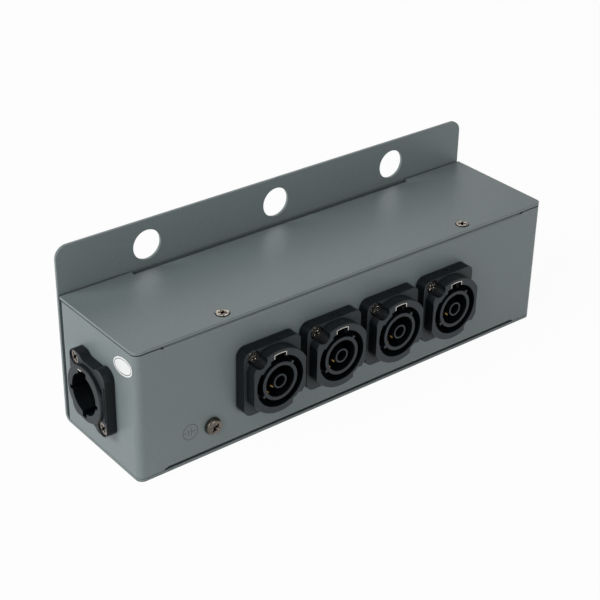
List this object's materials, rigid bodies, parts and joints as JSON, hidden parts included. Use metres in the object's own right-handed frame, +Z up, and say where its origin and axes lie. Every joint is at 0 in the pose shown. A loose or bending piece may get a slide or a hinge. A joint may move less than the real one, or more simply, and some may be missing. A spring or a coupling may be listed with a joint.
{
  "type": "power distribution box",
  "caption": "Folded sheet-steel power distribution box with an input socket on its left end, a row of locking output sockets on its front and a drilled hanging flange behind its cover.",
  "frame": {"origin": "centre of the housing's flat underside, half way along its length and its depth", "axes": "+X along the housing to the end without a socket, +Y from the socket front to the back plate, +Z up to the cover and the hanging flange"},
  "size_m": [0.2244, 0.0674, 0.0808],
  "materials": {
    "powder_coat": "satin grey powder coat with a fine texture",
    "black_plastic": "moulded, finely matt",
    "zinc_steel": "zinc plated",
    "screw_steel": "nickel plated, a little dull",
    "latch_steel": "bright spring steel",
    "contact_brass": "plain",
    "label_white": "printed film",
    "wire_brown": "insulation",
    "wire_blue": "insulation",
    "wire_green": "insulation",
    "terminal_sleeve": "insulating sleeve"
  },
  "bodies": {
    "root": {"wall_panel": "powder_coat", "back_base_panel": "powder_coat", "top_cover": "powder_coat", "cover_screws": "screw_steel", "base_screws": "screw_steel", "back_screws": "screw_steel", "clinch_nuts": "zinc_steel", "inspection_label": "label_white", "earth_screw": "screw_steel", "earth_washer": "zinc_steel", "earth_ring_terminal": "contact_brass", "earth_nut": "zinc_steel", "input_shell": "black_plastic", "input_latch_plate": "latch_steel", "input_carrier": "black_plastic", "input_contacts": "contact_brass", "input_screws": "screw_steel", "output_screws": "screw_steel", "socket_nuts": "zinc_steel", "output_1_shell": "black_plastic", "output_1_latch_plate": "latch_steel", "output_1_insert": "black_plastic", "output_1_contacts": "contact_brass", "output_2_shell": "black_plastic", "output_2_latch_plate": "latch_steel", "output_2_insert": "black_plastic", "output_2_contacts": "contact_brass", "output_3_shell": "black_plastic", "output_3_latch_plate": "latch_steel", "output_3_insert": "black_plastic", "output_3_contacts": "contact_brass", "output_4_shell": "black_plastic", "output_4_latch_plate": "latch_steel", "output_4_insert": "black_plastic", "output_4_contacts": "contact_brass", "line_wires": "wire_brown", "neutral_wires": "wire_blue", "earth_wires": "wire_green", "wire_terminals": "terminal_sleeve"}
  },
  "joints": []
}
